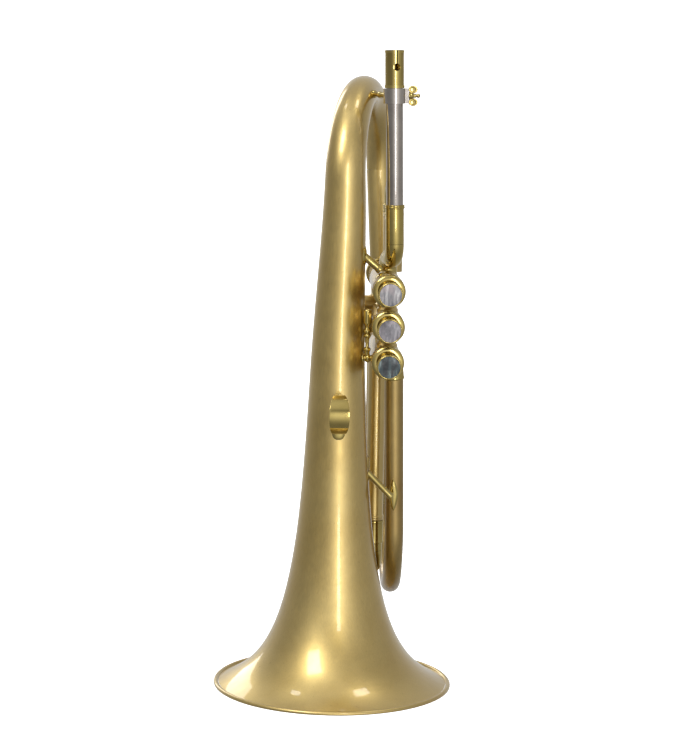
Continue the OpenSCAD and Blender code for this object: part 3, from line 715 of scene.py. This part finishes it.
def build_knuckles():
    for n in VALVES[:-1]:
        bm = bmesh.new()
        base = VALVE[n + 1].translation
        length = (VALVE[n].translation.z - base.z) / MM
        for depth in KNUCKLE_DEPTHS:
            place = Matrix.Translation(base + Vector((0, depth * MM, 0)))
            outline = [(SLEEVE_BORE, 7), (SADDLE_R, 7), (SADDLE_R, 9.6), (6.0, 10.3),
                       (SLEEVE_R, 10.7), (SLEEVE_R, length - 10.7), (6.0, length - 10.3),
                       (SADDLE_R, length - 9.6), (SADDLE_R, length - 7), (SLEEVE_BORE, length - 7)]
            add_revolve(bm, rounded(in_metres(outline), 0.3 * MM), place, SLIDE_SIDES)
        finish_mesh(f"knuckle_tubes_{n}_{n + 1}", bm, HORN, SATIN, [f"knuckle_{n}_{n + 1}"])


# ---------- braces and hook ----------

ROD_SIDES = 64
ROD_ROUNDING = 0.35
UPPER_FOOT_Z, LOWER_FOOT_Z, FLANGE_Z = 277, 143, 122.3


def rod_between(name, a, b, profile, replaces):
    """A turned rod between two points; profile is (share of the length, radius in mm)."""
    a, b = Vector(a) * MM, Vector(b) * MM
    length = (b - a).length / MM
    outline = [(0, 0)] + [(r, s * length) for s, r in profile] + [(0, length)]
    revolve(name, outline, along(b - a, a), HORN, POLISHED, replaces,
            r=ROD_ROUNDING, segments=ROD_SIDES)


def plate(name, centre, axis, radius, out, shape, thick):
    bm = bmesh.new()
    add_saddle(bm, centre, axis, radius, out, shape, thick)
    finish_mesh(name, bm, HORN, POLISHED)


def build_braces():
    foot_r = bell_radius(UPPER_FOOT_Z) * MM
    rod_between("upper_brace_rod", (13, -3, 279), (26, -3, 267.8),
                [(0, 2.9), (0.1, 2.4), (0.84, 2.4), (0.9, 2.8), (1, 2.8)], ["upper_brace"])
    casing_r = CASING_R * MM
    out = Vector((-0.42, 0, 0.91)).normalized()
    at = VALVE[1].translation + Vector((0, 27 * MM, 0)) + out * casing_r
    plate("upper_brace_saddle", at, (0, 1, 0), casing_r, out,
          diamond(5.6 * MM, 6.8 * MM, 2.2), 1.1 * MM)
    at = Vector((tail_x(UPPER_FOOT_Z) * MM + foot_r * 0.975, -foot_r * 0.22, 0.277))
    plate("upper_brace_foot", at, UP, foot_r, (0.975, -0.22, 0),
          diamond(4.6 * MM, 6.4 * MM, 1.6), 0.9 * MM)
    low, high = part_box("middle_brace")
    y, z = (low.y + high.y) / 2, (low.z + high.z) / 2
    length = (high.x - low.x) / MM
    turns = [math.radians(a) for a in range(-50, 51, 10)]
    bead = [(0.9 + 2 * math.cos(a), length / 2 + 0.5 + 1.7 * math.sin(a)) for a in turns]
    revolve("middle_brace_post",
            [(0, 0), (2.9, 0), (2.9, 0.8), (1.8, 1.4), (1.8, 1.9)] + bead
            + [(1.8, length - 0.9), (2.2, length - 0.5), (2.2, length), (0, length)],
            along((1, 0, 0), (low.x, y, z)), HORN, POLISHED, ["middle_brace"], segments=ROD_SIDES)
    revolve("lyre_socket_turned",
            [(0, 0), (1.7, 0), (1.7, 2.5), (2.3, 3.4), (2.3, 4.6), (1.2, 5.4), (1.2, 11),
             (2.3, 11.9), (2.3, 13.3), (1.5, 14), (2.5, 14.8), (2.5, 16.4), (1.5, 17.3),
             (1.5, 18.4), (2.7, 20.5), (2.7, 28.6), (2.3, 29.2), (1.4, 29.2), (1.4, 21), (0, 21)],
            Matrix.Translation((18.1 * MM, y, z + 1.7 * MM)), HORN, POLISHED,
            ["lyre_socket"], r=ROD_ROUNDING, segments=ROD_SIDES)
    rod_between("lower_brace_rod", (17.5, -1, 141), (35.6, 0.9, 122.4),
                [(0, 2.6), (0.06, 2.0), (0.9, 2.0), (1, 2.4)], ["lower_brace"])
    axis = BRANCH_TOP - BRANCH_FOOT
    at = BRANCH_FOOT + axis * ((FLANGE_Z * MM - BRANCH_FOOT.z) / axis.z)
    out = Vector((-0.12, -1, 0)).normalized()
    plate("lower_brace_flange", at + out * BRANCH_R * MM, axis, BRANCH_R * MM, out,
          diamond(3.2 * MM, 10.5 * MM, 1.35), 0.9 * MM)
    bell_r = bell_radius(LOWER_FOOT_Z) * MM
    plate("lower_brace_foot", Vector((bell_r * 0.998, -0.001, 0.143)), UP, bell_r,
          (0.998, -0.06, 0), diamond(4.4 * MM, 6.5 * MM, 1.5), 0.8 * MM)
    rod_between("receiver_brace_rod", (27.2, 5.2, 377.2), (17.2, 35.4, 377.2),
                [(0, 1.6), (0.16, 1.6), (0.22, 2.1), (0.28, 2.3), (0.34, 2.1), (0.40, 1.6),
                 (0.58, 1.6), (0.62, 2.4), (1, 2.4)], ["receiver_brace"])


HOOK_FROM, HOOK_SWEEP = 40, 282  # degrees from the bell's side, over the top
HOOK_STEPS = 72
HOOK_R = 11.05  # to the middle of the band
HOOK_REACH = 11.9  # to the band's outside
HOOK_TALL = 1.05  # height of the C over its width


def build_hook():
    """Little-finger hook: a crowned band curled into a C on a soldered foot."""
    low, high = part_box("pinky_hook")
    mid_x = (low.x + high.x) / 2
    width = high.x - low.x
    centre_y, centre_z = low.y + HOOK_REACH * MM, low.z + HOOK_REACH * HOOK_TALL * MM
    radius = HOOK_R * MM
    path = []
    for k in range(HOOK_STEPS + 1):
        a = math.radians(HOOK_FROM + HOOK_SWEEP * k / HOOK_STEPS)
        path.append(Vector((mid_x, centre_y + radius * math.cos(a),
                            centre_z + HOOK_TALL * radius * math.sin(a))))
    fan = [math.pi * k / 23 for k in range(24)]

    def band(t):
        """Crowned on the outside, nearly flat on the inside, and widest halfway round."""
        turned = math.radians(HOOK_FROM + HOOK_SWEEP * t)
        half = width / 2 * (0.52 + 0.48 * max(0.0, -math.cos(turned)))
        return ([(half * math.cos(a), -0.35 * MM - 1.1 * MM * math.sin(a)) for a in fan]
                + [(-half * math.cos(a), 0.55 * MM + 0.30 * MM * math.sin(a) * 0.4) for a in fan])

    bm = bmesh.new()
    add_sweep(bm, path, band, (1, 0, 0))
    finish_mesh("little_finger_hook", bm, HORN, POLISHED, ["pinky_hook"])
    # a bar runs straight from the C to the bell, where it ends on a plate
    start = Vector((mid_x, centre_y + 4.5 * MM, centre_z - HOOK_TALL * radius))
    bell_y = -bell_radius(start.z / MM) * MM
    end = Vector((mid_x, bell_y + 0.4 * MM, start.z))
    oval = [TAU * k / 40 for k in range(40)]
    bm = bmesh.new()
    add_sweep(bm, [start.lerp(end, k / 6) for k in range(7)], lambda t: [
        (3.6 * MM * math.cos(a) * (1 + 0.25 * t * t), 0.85 * MM * math.sin(a)) for a in oval],
        (1, 0, 0))
    finish_mesh("hook_foot_bar", bm, HORN, POLISHED)
    plate("hook_foot_plate", Vector((mid_x, bell_y, start.z - 1.5 * MM)), UP, -bell_y, (0, -1, 0),
          diamond(4.4 * MM, 5.4 * MM, 2.4), 0.8 * MM)


# ---------- CAD nodes that keep their own shape ----------

CAD_SHARP = math.radians(32)
KEPT = {
    "mouthpiece_receiver": POLISHED,
    "clamp_collar": NICKEL,
    **{f"valve_guide_{n}": POLISHED for n in VALVES},
    **{f"valve_stem_{n}": POLISHED for n in VALVES},
    **{f"piston_{n}": MONEL for n in VALVES},
    **{f"valve_spring_{n}": STEEL for n in VALVES},
}


def finish_cad_nodes():
    for name, look in KEPT.items():
        mesh = frame["nodes"][name].data
        mesh.materials.clear()
        mesh.materials.append(look.material)
        for polygon in mesh.polygons:
            polygon.material_index = 0
            polygon.use_smooth = True
        mesh.set_sharp_from_angle(angle=CAD_SHARP)


# ---------- studio ----------

CAMERA_AT = Vector((-0.044, -1.530, 0.425))
CAMERA_PITCH = 0.1455
CAMERA_YAW = 0.0327
CAMERA_ROLL = 0.019
CAMERA_LENS = 126.6
OBJECT_MIDDLE = Vector((0.01, 0.02, 0.2))


def build_camera():
    ahead = Vector((math.sin(CAMERA_YAW) * math.cos(CAMERA_PITCH),
                    math.cos(CAMERA_YAW) * math.cos(CAMERA_PITCH), -math.sin(CAMERA_PITCH)))
    right = Vector((math.cos(CAMERA_YAW), -math.sin(CAMERA_YAW), 0))
    top = right.cross(ahead)
    tilted = right * math.cos(CAMERA_ROLL) + top * math.sin(CAMERA_ROLL)
    top = top * math.cos(CAMERA_ROLL) - right * math.sin(CAMERA_ROLL)
    camera = bpy.data.objects.new("camera", bpy.data.cameras.new("camera"))
    bpy.context.scene.collection.objects.link(camera)
    camera.data.lens = CAMERA_LENS
    camera.data.sensor_width = 36
    camera.data.sensor_fit = "HORIZONTAL"
    camera.data.clip_end = 200
    turn = Matrix((tilted, top, -ahead)).transposed().to_4x4()
    camera.matrix_world = Matrix.Translation(CAMERA_AT) @ turn
    bpy.context.scene.camera = camera


def from_front(azimuth, elevation):
    """Direction from the object; azimuth 0 is the buttons' side, and it turns to the right."""
    a, e = math.radians(azimuth), math.radians(elevation)
    return Vector((math.sin(a) * math.cos(e), -math.cos(a) * math.cos(e), math.sin(e)))


# name, azimuth, elevation, distance, width, height, watts
SOFTBOXES = (
    ("front_right_box", 10.5, 8, 1.9, 0.24, 0.80, 4.2),
    ("high_left_box", -38, 44, 1.9, 0.62, 0.85, 11),
    ("high_right_box", 96, 70, 1.9, 0.35, 0.35, 2.2),
    ("high_left_spot", -112, 66, 1.9, 0.22, 0.22, 0.9),
    ("back_left_box", -150, 20, 2.2, 0.6, 1.2, 6),
)


def softbox(name, azimuth, elevation, distance, width, height, watts):
    light = bpy.data.lights.new(name, "AREA")
    light.shape = "RECTANGLE"
    light.size, light.size_y = width, height
    light.energy = watts
    lamp = bpy.data.objects.new(name, light)
    bpy.context.scene.collection.objects.link(lamp)
    way = from_front(azimuth, elevation)
    lamp.location = OBJECT_MIDDLE + way * distance
    lamp.rotation_euler = way.to_track_quat("Z", "Y").to_euler()
    lamp.visible_camera = False


FLOOR_HALF, FLOOR_CELLS = 60, 24
FLOOR_Z = -0.0002  # just clear of the rim that stands on it
WALL_R, WALL_LOW, WALL_TOP, WALL_SIDES = 55, -0.1, 14, 96


def build_floor():
    bm = bmesh.new()
    bmesh.ops.create_grid(bm, x_segments=FLOOR_CELLS, y_segments=FLOOR_CELLS, size=FLOOR_HALF)
    mesh = bpy.data.meshes.new("floor")
    bm.to_mesh(mesh)
    bm.free()
    floor = bpy.data.objects.new("floor", mesh)
    bpy.context.scene.collection.objects.link(floor)
    floor.location.z = FLOOR_Z
    floor.visible_glossy = False
    material, _, bsdf = node_kit("studio_floor")
    bsdf.inputs["Base Color"].default_value = (0.93, 0.93, 0.93, 1)
    bsdf.inputs["Roughness"].default_value = 0.9
    bsdf.inputs["Specular IOR Level"].default_value = 0.1
    bsdf.inputs["Emission Color"].default_value = (1, 1, 1, 1)
    bsdf.inputs["Emission Strength"].default_value = 0.6
    mesh.materials.append(material)


def build_wall():
    bm = bmesh.new()
    turns = [TAU * k / WALL_SIDES for k in range(WALL_SIDES)]
    low, high = [[bm.verts.new((WALL_R * math.cos(a), WALL_R * math.sin(a), z)) for a in turns]
                 for z in (WALL_LOW, WALL_TOP)]
    for k in range(WALL_SIDES):
        j = (k + 1) % WALL_SIDES
        bm.faces.new((low[k], high[k], high[j], low[j]))
    mesh = bpy.data.meshes.new("wall")
    bm.to_mesh(mesh)
    bm.free()
    material, _, bsdf = node_kit("studio_wall")
    bsdf.inputs["Base Color"].default_value = (0.9, 0.9, 0.9, 1)
    bsdf.inputs["Emission Color"].default_value = (1, 1, 1, 1)
    bsdf.inputs["Emission Strength"].default_value = 1.0
    mesh.materials.append(material)
    wall = bpy.data.objects.new("wall", mesh)
    bpy.context.scene.collection.objects.link(wall)
    wall.visible_glossy = False


def build_lights():
    sun = bpy.data.lights.new("overhead", "SUN")
    sun.energy = 1.6
    sun.angle = math.radians(60)
    lamp = bpy.data.objects.new("overhead", sun)
    bpy.context.scene.collection.objects.link(lamp)
    lamp.visible_glossy = False

    for spec in SOFTBOXES:
        softbox(*spec)


ROOM_BASE = 0.20
# azimuth, elevation, tightness and amount of each patch of room light
ROOM_BACK = (180, 0, 1.6, 0.42)
ROOM_PATCHES = (
    (16, 3, 7.5, 1.15), (75, 5, 6.0, 0.16), (-38, 46, 7.0, 0.55), (6, 27, 45.0, -0.55),
    (30, 82, 5.0, 0.36),
)


def build_room():
    """The world: soft patches of light added over an even base."""
    world = bpy.data.worlds.new("studio")
    bpy.context.scene.world = world
    world.use_nodes = True
    tree = world.node_tree
    tree.nodes.clear()
    out = tree.nodes.new("ShaderNodeOutputWorld")
    background = tree.nodes.new("ShaderNodeBackground")
    tree.links.new(background.outputs[0], out.inputs[0])
    direction = tree.nodes.new("ShaderNodeTexCoord").outputs["Generated"]

    def lobe(azimuth, elevation, tightness, amount):
        """A soft patch of light in one direction of the room, or of dark if amount is below 0."""
        dot = tree.nodes.new("ShaderNodeVectorMath")
        dot.operation = "DOT_PRODUCT"
        dot.inputs[1].default_value = from_front(azimuth, elevation)
        tree.links.new(direction, dot.inputs[0])
        off = math_node(tree, "SUBTRACT", dot.outputs["Value"], 1.0)
        power = math_node(tree, "MULTIPLY", off, tightness)
        return math_node(tree, "MULTIPLY", math_node(tree, "POWER", math.e, power), amount)

    total = math_node(tree, "ADD", lobe(*ROOM_BACK), ROOM_BASE)
    for spec in ROOM_PATCHES:
        total = math_node(tree, "ADD", total, lobe(*spec))
    tree.links.new(total, background.inputs["Strength"])
    background.inputs["Color"].default_value = (1.0, 0.99, 0.97, 1)
    bpy.context.scene.view_settings.view_transform = "Standard"


build_camera()
build_rim()
build_bell_and_bow()
build_legs()
build_leadpipe()
build_clamp()
build_valves()
build_slides()
build_knuckles()
build_braces()
build_hook()
finish_cad_nodes()
build_floor()
build_wall()
build_lights()
build_room()
